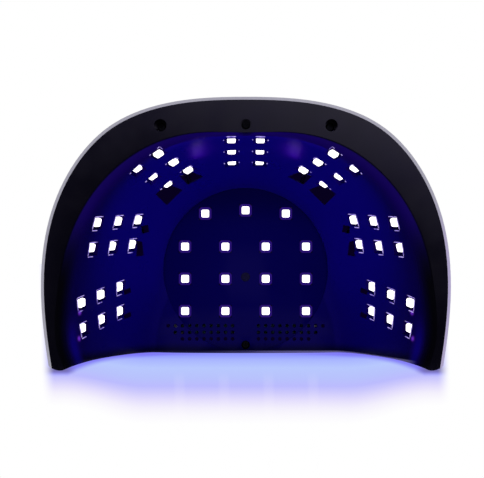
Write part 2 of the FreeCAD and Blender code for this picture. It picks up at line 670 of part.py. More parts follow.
def plug_shape(direction):
    """A plug on its base at the origin; wires leave along the direction."""
    half_l, half_d = PLUG[0] / 2, PLUG[1] / 2
    if direction[0] == 0:
        return box(-half_l, half_l, -half_d, half_d, 0, PLUG[2])
    return box(-half_d, half_d, -half_l, half_l, 0, PLUG[2])


def make_control_plugs():
    return [shifted(plug_shape(d), x, y, CONTROL_TOP) for (x, y), d in control_plugs().values()]


def wire_through(points, leave, arrive, radius):
    """A round wire along a smooth curve, with its end directions given so that its ends sit square."""
    curve = Part.BSplineCurve()
    curve.interpolate(Points=points, InitialTangent=leave, FinalTangent=arrive)
    edge = curve.toShape()
    circle = Part.Wire(Part.makeCircle(radius, points[0], leave))
    return Part.Wire(edge).makePipeShell([circle], True, True)


def board_plug_base(place):
    """Middle of the plug's base on the back of a wall board."""
    back = BOARD_FACE + BOARD
    return place.centre + place.row * (place.half_length - PLUG_INSET) + place.out * back


def make_board_plugs(places):
    plugs = []
    across = plug_shape((1, 0))
    for place in places.values():
        middle = place.half_length - PLUG_INSET
        plugs.append(place.put(shifted(across, middle, 0, BOARD_FACE + BOARD)))
    half_l = PLUG[0] / 2
    top = CEILING_BOARD_Z + BOARD
    plugs.append(box(-half_l, half_l, CEILING_PLUG_Y - PLUG[1], CEILING_PLUG_Y, top, top + 3.0))
    return plugs


def make_light_wires(places):
    wires = []
    ends = control_plugs()
    face = PLUG[1] / 2 + 0.05
    for name, place in places.items():
        (ex, ey), direction = ends[name]
        out = Vector(direction[0], direction[1], 0)
        for side in (-WIRE_SPREAD, WIRE_SPREAD):
            start = board_plug_base(place) + place.out * WIRE_HEIGHT
            start = start + place.row * face + place.column * side
            spread = Vector(out.y, out.x, 0) * side
            end = Vector(ex, ey, CONTROL_TOP + WIRE_HEIGHT) + out * face + spread
            lift = start + place.row * 5 + place.out * 2
            rise = Vector(start.x * 0.86, start.y * 0.86, CEILING_BOARD_Z + BOARD) + out * 4
            arrive = end + out * 4 + UP * 0.5
            wires.append(wire_through([start, lift, rise, arrive, end], place.row, out * -1, WIRE))
    (ex, ey), direction = ends["ceiling"]
    top = CEILING_BOARD_Z + BOARD
    for side in (-WIRE_SPREAD, WIRE_SPREAD):
        start = Vector(side, CEILING_PLUG_Y + 0.05, top + 1.5)
        end = Vector(ex + side, ey + face, CONTROL_TOP + WIRE_HEIGHT)
        up_and_over = [Vector(side, CEILING_PLUG_Y + 4, top + 3), Vector(side, 4, CONTROL_TOP + 2.5)]
        wires.append(wire_through([start] + up_and_over + [end], Vector(0, 1, 0), Vector(0, -1, 0), WIRE))
    return wires


def make_power_leads():
    """Two leads from the socket's contacts, up and over the ceiling to the control board."""
    (ex, ey), direction = control_plugs()["power"]
    rear = SOCKET_FACE - SOCKET_PAD - SOCKET_BODY[1]
    leads = []
    for side in (-1, 1):
        points = [
            Vector(side * CONTACT_X, rear - 1.6, SOCKET_Z + 0.3),
            Vector(side * 2.2 - 2, rear - 3.5, SOCKET_Z + 9),
            Vector(side * 1.4 - 8, rear - 4, SOCKET_Z + 30),
            Vector(side * 1.4 - 10, 30, CONTROL_TOP + 2),
            Vector(ex + side * 1.3, ey + PLUG[1] / 2 + 0.05, CONTROL_TOP + WIRE_HEIGHT),
        ]
        leads.append(wire_through(points, UP, Vector(0, -1, 0), LEAD))
    return leads


def make_socket_body():
    w, d, h = SOCKET_BODY
    front = SOCKET_FACE - SOCKET_PAD
    along = Vector(0, 1, 0)
    body = box(-w / 2, w / 2, front - d, front, SOCKET_Z - h / 2, SOCKET_Z + h / 2)
    nose = Part.makeCylinder(SOCKET_NOSE, SOCKET_PAD, Vector(0, front, SOCKET_Z), along)
    floor = SOCKET_FACE - SOCKET_DEPTH
    bore = Part.makeCylinder(SOCKET_BORE, SOCKET_DEPTH, Vector(0, floor, SOCKET_Z), along)
    root = Part.makeCylinder(1.6, d, Vector(0, front - d - 1, SOCKET_Z), along)
    slits = []
    rear = front - d
    for x in (-CONTACT_X, CONTACT_X):
        slits.append(box(x - 1.02, x + 1.02, rear - 1, rear + 3.02, SOCKET_Z - 0.27, SOCKET_Z + 0.27))
    return body.fuse(nose).cut([bore, root] + slits)


def make_socket_pin():
    front = SOCKET_FACE - SOCKET_PAD
    along = Vector(0, 1, 0)
    floor = SOCKET_FACE - SOCKET_DEPTH
    rear = front - SOCKET_BODY[1]
    root = Part.makeCylinder(1.58, floor - rear, Vector(0, rear, SOCKET_Z), along)
    pin = Part.makeCylinder(PIN_RADIUS, SOCKET_DEPTH - PIN_RECESS, Vector(0, floor, SOCKET_Z), along)
    tip = [e for e in pin.Edges if all(v.Y > SOCKET_FACE - PIN_RECESS - 1e-6 for v in e.Vertexes)]
    pin = pin.makeFillet(0.4, [e for e in tip if e.Curve.TypeId == "Part::GeomCircle"])
    return root.fuse(pin)


def make_socket_contacts():
    rear = SOCKET_FACE - SOCKET_PAD - SOCKET_BODY[1]
    lugs = []
    for x in (-CONTACT_X, CONTACT_X):
        lugs.append(box(x - 1, x + 1, rear - 3, rear + 3, SOCKET_Z - 0.25, SOCKET_Z + 0.25))
    return lugs


def make_sensor_lens():
    lens = rod(0, SENSOR_Y, CEILING + DISC_STEP + 0.5, CEILING_TOP + 0.1, SENSOR_RADIUS - 0.05)
    flange = rod(0, SENSOR_Y, CEILING_TOP + 0.05, CEILING_TOP + 0.55, SENSOR_RADIUS + 0.7)
    return lens.fuse(flange).removeSplitter()


def make_sensor_chip():
    y0, y1 = SENSOR_Y - 1.6, SENSOR_Y + 1.6
    return rounded_plate(-1.6, 1.6, y0, y1, CEILING_BOARD_Z - 0.8, CEILING_BOARD_Z, 0.3)


def save(name, shapes):
    """One STEP file for a part: a single solid, or a group of separate solids."""
    solids = []
    for shape in shapes if isinstance(shapes, list) else [shapes]:
        solids.extend(shape.Solids)
    for solid in solids:
        if not solid.isValid():
            print("invalid solid in", name)
    result = solids[0] if len(solids) == 1 else Part.makeCompound(solids)
    result.exportStep("parts/" + name + ".step")
    print(name, len(solids), "solids", round(sum(s.Volume for s in solids), 1), "mm3")


def main():
    os.makedirs("parts", exist_ok=True)
    places = wall_places()
    outer = cover_volume(0)
    inner = cover_volume(COVER_WALL)
    cavity = cavity_volume(0, 0)
    cavity_outside = cavity_volume(HOUSING_WALL * 1.15, DISC_STEP + HOUSING_WALL)

    save("top_cover", make_top_cover(outer, inner, front_profile(0)))
    save("inner_housing", make_housing(cavity, cavity_outside, places))

    lens = lens_shape(WALL_LENS, WALL_LENS_PROUD)
    package = package_shape()
    for name, place in places.items():
        save(name + "_led_board", make_wall_board(place))
        save(name + "_led_packages", [place.put(shifted(package, x, y)) for x, y in place.lights])
        save(name + "_led_lenses", [place.put(shifted(lens, x, y)) for x, y in place.lights])
    save("ceiling_led_board", make_ceiling_board())
    drop = CEILING_BOARD_Z - BOARD_FACE
    save("ceiling_led_packages", [shifted(package, x, y, drop) for x, y in CEILING_LIGHTS])
    lens = lens_shape(CEILING_LENS)
    save("ceiling_led_lenses", [shifted(lens, x, y, drop) for x, y in CEILING_LIGHTS])

    small = shifted(small_screw(), 0, 0, BOARD_FACE + BOARD)
    screws = [place.put(shifted(small, x, y)) for place in places.values() for x, y in place.bosses]
    screws += [shifted(small, x, y, drop) for x, y in CEILING_SCREWS]
    upside_down = small_screw().rotated(Vector(0, 0, 0), Vector(1, 0, 0), 180)
    screws += [shifted(upside_down, x, y, CONTROL_BOARD_Z) for x, y in CONTROL_POSTS]
    save("board_screws", screws)
    big = housing_screw()
    seats = [(x, y, WELL_FLOOR) for x, y in WELLS]
    seats += [SEAT + (SEAT_FLOOR,), LIP_SCREW + (LIP_FLOOR,)]
    save("housing_screws", [shifted(big, x, y, z) for x, y, z in seats])

    save("hand_sensor_lens", make_sensor_lens())
    save("hand_sensor_chip", make_sensor_chip())

    for number, x in enumerate(BUTTON_X, 1):
        save("timer_button_%d" % number, make_button(x))
        save("switch_plunger_%d" % number, make_plunger(x))
    save("switch_bodies", [make_switch_body(x) for x in BUTTON_X])
    save("display_window", make_display_window())
    save("display_module", make_display_module())
    save("control_board", make_control_board())
    save("capacitors", make_capacitors())
    save("inductor", make_inductor())
    save("power_transistors", make_transistors())
    save("controller_chip", make_controller_chip())
    save("control_board_plugs", make_control_plugs())
    save("light_board_plugs", make_board_plugs(places))
    save("light_wires", make_light_wires(places))
    save("power_leads", make_power_leads())
    save("dc_socket_body", make_socket_body())
    save("dc_socket_pin", make_socket_pin())
    save("dc_socket_contacts", make_socket_contacts())


main()
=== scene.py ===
import json
import math

import bmesh
import bpy
import numpy as np
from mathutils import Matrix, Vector


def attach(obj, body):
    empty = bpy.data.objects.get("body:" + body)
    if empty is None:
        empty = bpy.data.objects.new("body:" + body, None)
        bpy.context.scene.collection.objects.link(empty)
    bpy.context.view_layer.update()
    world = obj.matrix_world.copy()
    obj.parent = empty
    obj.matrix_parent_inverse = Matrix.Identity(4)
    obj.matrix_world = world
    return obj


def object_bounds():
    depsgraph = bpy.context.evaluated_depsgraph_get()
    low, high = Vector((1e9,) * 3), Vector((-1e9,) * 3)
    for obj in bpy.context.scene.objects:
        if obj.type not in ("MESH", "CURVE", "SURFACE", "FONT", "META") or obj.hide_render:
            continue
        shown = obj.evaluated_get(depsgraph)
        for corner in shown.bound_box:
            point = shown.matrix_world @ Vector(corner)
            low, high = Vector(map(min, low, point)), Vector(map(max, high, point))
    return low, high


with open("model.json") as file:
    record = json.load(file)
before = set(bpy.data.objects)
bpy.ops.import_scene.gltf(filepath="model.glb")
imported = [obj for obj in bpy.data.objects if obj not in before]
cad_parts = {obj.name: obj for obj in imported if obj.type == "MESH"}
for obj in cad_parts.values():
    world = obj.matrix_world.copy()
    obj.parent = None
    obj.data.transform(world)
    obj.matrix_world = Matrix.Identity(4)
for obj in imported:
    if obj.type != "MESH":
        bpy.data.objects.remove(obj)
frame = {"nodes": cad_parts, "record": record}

CAD_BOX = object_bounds()
MM = 0.001
NODES = frame["nodes"]
HAND_MIDDLE = (0, -22 * MM, 25 * MM)     # middle of the space for the hand
LAMP_MIDDLE = (0, 0, 20 * MM)


# ---------------------------------------------------------------- node helpers
class Tree:
    """A material's node tree, with short calls for the nodes used here."""

    def __init__(self, tree):
        self.tree = tree
        tree.nodes.clear()

    def add(self, kind, inputs=None, **settings):
        node = self.tree.nodes.new(kind)
        for key, value in settings.items():
            setattr(node, key, value)
        for key, value in (inputs or {}).items():
            self.feed(node.inputs[key], value)
        return node

    def feed(self, socket, value):
        if isinstance(value, bpy.types.NodeSocket):
            self.tree.links.new(value, socket)
        else:
            socket.default_value = value

    def math(self, operation, a, b=0.0):
        return self.add("ShaderNodeMath", {0: a, 1: b}, operation=operation).outputs[0]

    def times(self, first, *others):
        for other in others:
            first = self.math("MULTIPLY", first, other)
        return first

    def minus(self, a, b):
        return self.math("SUBTRACT", a, b)

    def invert(self, value):
        return self.minus(1.0, value)

    def vector_math(self, operation, a, b=(0, 0, 0)):
        return self.add("ShaderNodeVectorMath", {0: a, 1: b}, operation=operation).outputs

    def mix(self, factor, a, b):
        node = self.add("ShaderNodeMix", {"Factor": factor}, data_type="RGBA")
        self.feed(node.inputs[6], a)
        self.feed(node.inputs[7], b)
        return node.outputs[2]

    def remap(self, value, low, high, to_low=0.0, to_high=1.0, smooth=True):
        """A value from low to high becomes to_low to to_high, and stays at these outside that range."""
        kind = "SMOOTHSTEP" if smooth else "LINEAR"
        inputs = {0: value, 1: low, 2: high, 3: to_low, 4: to_high}
        return self.add("ShaderNodeMapRange", inputs, interpolation_type=kind).outputs[0]

    def noise(self, scale, detail=3.0, vector=None):
        node = self.add("ShaderNodeTexNoise", {"Scale": scale, "Detail": detail})
        self.feed(node.inputs["Vector"], vector or self.position())
        return node.outputs["Fac"]

    def position(self):
        return self.add("ShaderNodeNewGeometry").outputs["Position"]

    def axes(self):
        return self.add("ShaderNodeSeparateXYZ", {0: self.position()}).outputs

    def facing_away(self, middle):
        """1 where the surface faces straight away from a point, -1 where it faces it."""
        geometry = self.add("ShaderNodeNewGeometry").outputs
        away = self.vector_math("SUBTRACT", geometry["Position"], middle)[0]
        away = self.vector_math("NORMALIZE", away)[0]
        return self.vector_math("DOT_PRODUCT", geometry["Normal"], away)["Value"]

    def near(self, place, full, none):
        """1 within a distance of a point, fading to 0."""
        away = self.vector_math("DISTANCE", self.position(), place)["Value"]
        return self.remap(away, none, full)

    def pointiness(self, low, high):
        value = self.add("ShaderNodeNewGeometry").outputs["Pointiness"]
        return self.remap(value, low, high)

    def bump(self, height, strength, distance):
        inputs = {"Height": height, "Strength": strength, "Distance": distance}
        return self.add("ShaderNodeBump", inputs).outputs[0]

    def principled(self, inputs):
        return self.add("ShaderNodeBsdfPrincipled", inputs).outputs[0]

    def emission(self, tint, strength):
        return self.add("ShaderNodeEmission", {"Color": tint, "Strength": strength}).outputs[0]

    def mix_shaders(self, factor, a, b):
        return self.add("ShaderNodeMixShader", {0: factor, 1: a, 2: b}).outputs[0]

    def finish(self, shader):
        self.add("ShaderNodeOutputMaterial", {"Surface": shader})


def colour(r, g, b):
    return (r, g, b, 1.0)


def shade(tone, factor, lift=0.0):
    """A lighter or darker version of a colour."""
    return colour(*(min(1.0, part * factor + lift) for part in tone))


def new_material(name, lights_others=True):
    """An empty node material. One that lights no others only glows for whoever looks at it."""
    material = bpy.data.materials.new(name)
    material.use_nodes = True
    if not lights_others:
        material.cycles.emission_sampling = "NONE"
    return material, Tree(material.node_tree)


# ---------------------------------------------------------------- materials of small parts
PLASTIC_VARIES = 0.12        # how much lighter or darker a plastic is from place to place
PLASTIC_WEAR = 0.25          # how far a rubbed edge goes to its lighter colour
PLASTIC_GRAIN = 0.02 * MM


def plastic(name, base, rough, grain=900.0, coat=0.0):
    """Moulded plastic: colour and gloss vary softly, edges are rubbed, the surface has a fine grain."""
    material, t = new_material(name)
    soft = t.noise(60.0, 2.0)
    fine = t.noise(grain, 4.0)
    body = t.mix(soft, shade(base, 1 - PLASTIC_VARIES), shade(base, 1 + PLASTIC_VARIES, 0.002))
    edges = t.times(t.pointiness(0.51, 0.58), PLASTIC_WEAR)
    body = t.mix(edges, body, shade(base, 1.25, 0.03))
    gloss = t.remap(soft, 0.3, 0.7, rough * 0.85, rough * 1.15)
    t.finish(t.principled({
        "Base Color": body,
        "Roughness": t.math("ADD", gloss, t.times(fine, 0.04)),
        "Coat Weight": coat,
        "Coat Roughness": 0.08,
        "Normal": t.bump(fine, 0.35, PLASTIC_GRAIN),
    }))
    return material


def lens_material():
    """A lit lens: white at its middle, violet where its skirt turns away."""
    material, t = new_material("lit_lens", lights_others=False)
    facing = t.add("ShaderNodeLayerWeight", {"Blend": 0.35}).outputs["Facing"]
    ripple = t.remap(t.noise(900.0, 1.0), 0.35, 0.65, 0.92, 1.0)
    seen = t.mix(t.remap(facing, 0.55, 1.0), colour(1.0, 0.97, 1.0), colour(0.45, 0.30, 0.95))
    t.finish(t.emission(seen, t.times(ripple, t.remap(facing, 0.6, 1.0, 2.4, 0.8))))
    return material


def package_material():
    """The moulded frame round a lit lens, dark against its light, with a faint painted violet glow of
    that light.
    """
    material, t = new_material("lit_package")
    mottled = t.noise(1500.0, 2.0)
    t.finish(t.principled({
        "Base Color": t.mix(mottled, colour(0.03, 0.028, 0.04), colour(0.06, 0.055, 0.08)),
        "Roughness": 0.45,
        # painted glow: the lens's violet light drawn on the frame as a faint emission
        "Emission Color": colour(0.30, 0.12, 0.9),
        "Emission Strength": t.remap(mottled, 0.3, 0.7, 0.05, 0.09),
        "Normal": t.bump(mottled, 0.2, 0.02 * MM),
    }))
    return material


def circuit_material(name, mask, trace):
    """Solder mask over etched tracks, with small plated pads."""
    material, t = new_material(name)
    cells = t.add("ShaderNodeTexBrick", {
        "Vector": t.position(), "Scale": 260.0, "Mortar Size": 0.03,
        "Color1": colour(0, 0, 0), "Color2": colour(0.2, 0.2, 0.2), "Mortar": colour(1, 1, 1),
    }).outputs["Fac"]
    dots = t.add("ShaderNodeTexVoronoi", {"Vector": t.position(), "Scale": 190.0}).outputs["Distance"]
    pads = t.remap(dots, 0.10, 0.14, 1.0, 0.0)
    body = t.mix(cells, colour(*mask), colour(*trace))
    t.finish(t.principled({
        "Base Color": t.mix(pads, body, colour(0.55, 0.5, 0.42)),
        "Roughness": t.remap(t.noise(300.0), 0.3, 0.7, 0.28, 0.42),
        "Metallic": t.times(pads, 0.8),
        "Normal": t.bump(t.math("ADD", cells, pads), 0.3, 0.03 * MM),
    }))
    return material


def window_material():
    """Dark tinted acrylic: black until the light catches its polished face."""
    material, t = new_material("tinted_window")
    haze = t.noise(50.0, 4.0)
    t.finish(t.principled({
        "Base Color": t.mix(haze, colour(0.004, 0.004, 0.007), colour(0.009, 0.009, 0.014)),
        "Roughness": t.remap(haze, 0.35, 0.7, 0.04, 0.10),
        "Coat Weight": 1.0,
        "Coat Roughness": 0.02,
        "Normal": t.bump(t.noise(700.0), 0.05, 0.01 * MM),
    }))
    return material


def steel_material(name, tone, rough):
    """Turned metal: fine tool marks and a slightly uneven plating."""
    material, t = new_material(name)
    waves = {"Vector": t.position(), "Scale": 900.0, "Distortion": 3.0}
    marks = t.add("ShaderNodeTexWave", waves).outputs["Fac"]
    plating = t.noise(200.0, 3.0)
    t.finish(t.principled({
        "Base Color": t.mix(plating, shade(tone, 0.8), colour(*tone)),
        "Metallic": 1.0,
        "Roughness": t.remap(plating, 0.3, 0.7, rough * 0.8, rough * 1.2),
        "Normal": t.bump(marks, 0.15, 0.01 * MM),
    }))
    return material


# the four buttons stand 12 mm to either side of these two places
BUTTON_PAIR_X = 24 * MM
BUTTON_HALF_PITCH = 12 * MM
BUTTON_Y = -50 * MM
MARK_RING = 3.2 * MM         # radius of the ring on a button
MARK_HALF_LINE = (0.35 * MM, 0.2 * MM)
MARK_DOT = (0.7 * MM, 0.5 * MM)


def button_material():
    """Satin grey cap with a fine ring and a dot pressed into its top."""
    material, t = new_material("button_cap")
    x, y, _ = t.axes()
    from_pair = t.math("ABSOLUTE", t.minus(t.math("ABSOLUTE", x), BUTTON_PAIR_X))
    across = t.minus(from_pair, BUTTON_HALF_PITCH)
    along = t.minus(y, BUTTON_Y)
    radius = t.math("SQRT", t.math("ADD", t.times(across, across), t.times(along, along)))
    from_ring = t.math("ABSOLUTE", t.minus(radius, MARK_RING))
    mark = t.math("MAXIMUM", t.remap(from_ring, *MARK_HALF_LINE), t.remap(radius, *MARK_DOT))
    grain = t.noise(1800.0, 3.0)
    body = t.mix(grain, colour(0.46, 0.46, 0.50), colour(0.54, 0.54, 0.58))
    body = t.mix(t.times(t.pointiness(0.51, 0.58), 0.25), body, colour(0.66, 0.66, 0.70))
    t.finish(t.principled({
        "Base Color": t.mix(mark, body, colour(0.10, 0.10, 0.12)),
        "Roughness": t.remap(grain, 0.3, 0.7, 0.38, 0.46),
        "Coat Weight": 0.1,
        "Normal": t.bump(t.minus(t.times(grain, 0.1), mark), 0.5, 0.1 * MM),
    }))
    return material


# ---------------------------------------------------------------- the cover's material
def cover_material():
    """Pearl white gloss shell: a faint flake under a clear coat."""
    material, t = new_material("pearl_cover")
    flake = t.noise(700.0, 2.0)
    soft = t.noise(35.0, 2.0)
    body = t.mix(soft, colour(0.63, 0.63, 0.67), colour(0.69, 0.69, 0.73))
    body = t.mix(t.remap(flake, 0.45, 0.7, 0.0, 0.08), body, colour(0.9, 0.88, 0.92))
    body = t.mix(t.times(t.pointiness(0.56, 0.64), 0.3), body, colour(0.85, 0.85, 0.88))
    # the shell's lower edge catches violet light on one side
    x, y, height = t.axes()
    low_edge = t.times(t.remap(x, -60 * MM, -105 * MM), t.remap(height, 3 * MM, 1 * MM))
    low_edge = t.times(low_edge, t.remap(y, 30 * MM, -20 * MM))
    body = t.mix(low_edge, body, colour(0.80, 0.72, 1.0))
    # painted outside, raw dark plastic where the surface faces the lamp's middle
    painted = t.remap(t.facing_away(LAMP_MIDDLE), -0.06, 0.02)
    smudge = t.noise(18.0, 5.0)
    orange_peel = t.noise(240.0, 2.0)
    t.finish(t.principled({
        "Base Color": t.mix(painted, colour(0.012, 0.012, 0.014), body),
        "Roughness": t.remap(smudge, 0.35, 0.75, 0.30, 0.37),
        "Metallic": 0.12,
        "Specular IOR Level": t.remap(painted, 0.0, 1.0, 0.1, 0.5),
        "Coat Weight": t.times(painted, 0.6),
        "Coat Roughness": 0.06,
        # the raw inside glows faintly violet: painted glow of the lamps' light
        "Emission Color": colour(0.14, 0.02, 0.8),
        "Emission Strength": t.remap(painted, 0.0, 1.0, 0.014, 0.0),
        "Normal": t.bump(orange_peel, 0.12, 0.04 * MM),
    }))
    return material


# ---------------------------------------------------------------- the housing's material
# each pair is where a look starts and where it is complete
SIDE_Y = (16 * MM, -30 * MM)             # the back wall gives way to the side walls
BLUE_BEHIND = (0.02 * MM, 0.6 * MM)      # heights at which the rim's black turns to the painted blue of the lamps' light, behind
BLUE_BESIDE = (0.8 * MM, 8 * MM)         # and along the sides
CEILING_Z = (71.6 * MM, 72.4 * MM)
DISC_Z = (72.4 * MM, 72.7 * MM)          # the disc sunk into the ceiling
DISC_Y = (2 * MM, 26 * MM)               # it is darker towards the back
FRONT_Y = (-66 * MM, -72 * MM)           # the violet light doesn't reach the front edge
LIP_Y = (-71.5 * MM, -72.4 * MM)         # a painted highlight along the front lip, lighter towards one side
LIP_Z = (5 * MM, 15 * MM)
LIP_X = (32 * MM, -48 * MM)
DULL_Y = (-20 * MM, -45 * MM)            # the walls mirror less towards the front
WINDOW_TOP_Z = (70 * MM, 66 * MM)        # window sides are lit below this
FOOT_Z = (9 * MM, 0.5 * MM)              # light gathers in the rounded foot of the walls
FOOT_STREAK_Y = (-40 * MM, -64 * MM)     # a painted highlight streak beside each foot tip
FOOT_STREAK_BOTTOM = (3 * MM, 8 * MM)    # heights at which it fades in and out
FOOT_STREAK_TOP = (15 * MM, 9 * MM)
SPOT_RADII = (0.2 * MM, 2.8 * MM)        # full and no painted violet light
SPOT_OFFSET = (1.4 * MM, -5.4 * MM)      # outward and forward, from a lamp to its spot of painted violet light
# places of the screws in the rim, and how far round them it stays black
SCREW_HOLES = [(-48 * MM, 61 * MM, 7 * MM), (48 * MM, 61 * MM, 7 * MM), (0, 66 * MM, 3 * MM)]
HOLE_BLACK = (9 * MM, 11 * MM)


class HousingMasks:
    """A point's place on the housing, and how far it is on a side wall, in the hand space or overhead."""

    def __init__(self, t):
        self.x, self.y, self.height = t.axes()
        self.side = t.remap(self.y, *SIDE_Y)
        behind = t.times(t.remap(self.height, *BLUE_BEHIND), t.invert(self.side))
        beside = t.times(t.remap(self.height, *BLUE_BESIDE), self.side)
        self.inside = t.math("ADD", behind, beside)
        for place in SCREW_HOLES:
            self.inside = t.times(self.inside, t.invert(t.near(place, *HOLE_BLACK)))
        self.overhead = t.remap(self.height, *CEILING_Z)


def housing_colour(t, at, soft):
    """Black rim, and a front edge kept black as painted shade where the lamps' light doesn't reach; walls
    and ceiling painted deep blue as the lamps' violet light on black plastic; a painted highlight on the
    lip.
    """
    rim = t.mix(soft, colour(0.0012, 0.0010, 0.0032), colour(0.0020, 0.0017, 0.0045))
    # the blue of walls and ceiling is painted light: the lamps' violet light on black plastic, less of it
    # on the ceiling
    wall = t.mix(soft, colour(0.0026, 0.0003, 0.046), colour(0.0034, 0.0004, 0.054))
    ceiling = t.mix(soft, colour(0.0012, 0.0002, 0.027), colour(0.0016, 0.0002, 0.031))
    disc = t.times(t.remap(at.height, *DISC_Z), t.remap(at.y, *DISC_Y, 0.0, 0.5))
    ceiling = t.mix(disc, ceiling, colour(0.001, 0.0002, 0.008))
    body = t.mix(at.inside, rim, t.mix(at.overhead, wall, ceiling))
    front = t.times(t.remap(at.y, *FRONT_Y, 0.0, 0.85), at.inside)
    body = t.mix(front, body, colour(0.0008, 0.0006, 0.004))
    # painted highlight along the front lip, lighter towards one side
    lip_highlight = t.times(t.remap(at.y, *LIP_Y), t.remap(at.height, *LIP_Z))
    lip_highlight_tone = t.mix(t.remap(at.x, *LIP_X), colour(0.012, 0.012, 0.02), colour(0.19, 0.185, 0.19))
    body = t.mix(lip_highlight, body, lip_highlight_tone)
    return t.mix(t.times(t.pointiness(0.53, 0.60), 0.10), body, colour(0.03, 0.028, 0.05))


def housing_glow(t, at):
    """Colour and strength of the light that the lamps leave on the walls, painted on as the housing's
    glow.
    """
    window_sides = t.times(t.remap(t.facing_away(HAND_MIDDLE), 0.05, 0.25), at.inside)
    window_sides = t.times(window_sides, t.remap(at.height, *WINDOW_TOP_Z))
    light_spots = 0.0
    for place in violet_light_spots():
        light_spots = t.math("MAXIMUM", t.near(place, *SPOT_RADII), light_spots)
    tone = t.mix(light_spots, colour(0.0035, 0.0003, 0.045), colour(0.13, 0.022, 0.45))
    foot = t.times(t.remap(at.height, *FOOT_Z), at.inside, t.remap(at.side, 0.0, 1.0, 0.75, 0.2))
    foot_highlight_streak = t.times(t.remap(at.height, *FOOT_STREAK_BOTTOM), t.remap(at.height, *FOOT_STREAK_TOP))
    foot_highlight_streak = t.times(foot_highlight_streak, t.remap(at.y, *FOOT_STREAK_Y, 0.0, 0.9))
    foot = t.math("MAXIMUM", foot, foot_highlight_streak)
    foot_tone = t.mix(at.side, colour(0.0055, 0.0003, 0.085), colour(0.0012, 0.0002, 0.085))
    tone = t.mix(t.times(foot, t.invert(light_spots)), tone, foot_tone)
    strength = t.math("MAXIMUM", t.times(window_sides, 0.6), light_spots)
    return tone, t.math("MAXIMUM", strength, foot)


def housing_material():
    """Black moulding: polished rim, satin walls, faint flow marks and hair scratches."""
    material, t = new_material("black_housing", lights_others=False)
    soft = t.noise(45.0, 3.0)
    fine = t.noise(1400.0, 3.0)
    stretch = {"Vector": t.position(), "Scale": (40.0, 900.0, 40.0)}
    stretched = t.add("ShaderNodeMapping", stretch).outputs[0]
    scratches = t.remap(t.noise(3.0, 6.0, stretched), 0.66, 0.74)
    at = HousingMasks(t)
    gloss = t.math("ADD", t.remap(soft, 0.3, 0.7, 0.11, 0.17), t.times(scratches, 0.10))
    gloss = t.math("ADD", gloss, t.times(at.inside, 0.16))
    specular = t.times(t.remap(at.inside, 0.0, 1.0, 0.5, 0.10), t.remap(at.overhead, 0.0, 1.0, 1.0, 0.05))
    dull = t.times(t.remap(at.y, *DULL_Y, 0.0, 0.8), at.inside)
    glow, strength = housing_glow(t, at)
    t.finish(t.principled({
        "Base Color": housing_colour(t, at, soft),
        "Roughness": gloss,
        "Specular IOR Level": t.times(specular, t.invert(dull)),
        "Normal": t.bump(fine, 0.25, 0.012 * MM),
        "Emission Color": glow,
        "Emission Strength": strength,
    }))
    return material


LENS_REACH = 8 * MM          # points of one lens are closer together than this


def lens_centres(obj):
    """Middle of each separate lens in a node, by gathering its points into groups."""
    groups = []
    for vertex in obj.data.vertices:
        for group in groups:
            if (group[0] - vertex.co).length < LENS_REACH:
                group.append(vertex.co.copy())
                break
        else:
            groups.append([vertex.co.copy()])
    return [sum(group, Vector()) / len(group) for group in groups]


def violet_light_spots():
    """Places on the walls just in front of the two lowest lamps of each front-side board, for spots of
    painted violet light.
    """
    places = []
    for side in ("left", "right"):
        centres = lens_centres(NODES[side + "_front_side_led_lenses"])
        centres.sort(key=lambda c: c.z)
        for centre in centres[:2]:
            outward = math.copysign(SPOT_OFFSET[0], centre.x)
            start = Vector((centre.x + outward, centre.y + SPOT_OFFSET[1], -MM))
            hit, place, _, _ = NODES["inner_housing"].ray_cast(start, Vector((0, 0, 1)))
            if hit:
                places.append(tuple(place))
    return places


def assign_materials():
    slots = {entry["node"]: entry["material_slot"] for entry in frame["record"]["subparts"]}
    made = {
        "cover_plastic": cover_material(),
        "housing_plastic": housing_material(),
        "led_lens": lens_material(),
        "led_package": package_material(),
        "board": circuit_material("black_circuit", (0.012, 0.010, 0.016), (0.03, 0.026, 0.038)),
        "control_board": circuit_material("green_circuit", (0.012, 0.09, 0.035), (0.03, 0.16, 0.06)),
        "dark_window": window_material(),
        "steel_screw": steel_material("zinc_steel", (0.62, 0.62, 0.60), 0.3),
        "black_screw": steel_material("blackened_steel", (0.025, 0.025, 0.03), 0.45),
        "contact_metal": steel_material("plated_brass", (0.80, 0.66, 0.38), 0.25),
        "button": button_material(),
        "black_plastic": plastic("black_part", (0.016, 0.016, 0.018), 0.45, grain=2200.0),
        "white_plastic": plastic("ivory_plug", (0.74, 0.71, 0.62), 0.4),
        "chip": plastic("epoxy_chip", (0.018, 0.018, 0.021), 0.55, grain=3000.0),
        "capacitor": plastic("capacitor_sleeve", (0.05, 0.07, 0.16), 0.3, coat=0.3),
        "wire_sleeve": plastic("wire_sleeve", (0.035, 0.035, 0.04), 0.45),
        "lead_sleeve": plastic("lead_sleeve", (0.42, 0.02, 0.018), 0.4),
    }
    for name, obj in NODES.items():
        for slot in obj.material_slots:
            slot.material = made[slots[name]]
        if slots[name] == "led_lens":
            obj.visible_diffuse = False
            obj.visible_glossy = False


# ---------------------------------------------------------------- lit edges of the windows
WINDOW_HALF = 3.9 * MM
OUTSIDE_WINDOW = 1.08        # the wall's surface is looked for this much further out than the edge
ROW_TOLERANCE = 2 * MM       # heights of the lights in one row differ less than this
GLINT_RADIUS = 0.28 * MM
THICK_GLINT = 1.6 * GLINT_RADIUS
GLINT_SIDES = 6
# shares along a glint, and its thickness there
GLINT_SHAPE = ((0, 0.4), (0.15, 1), (0.5, 1.1), (0.85, 1), (1, 0.4))
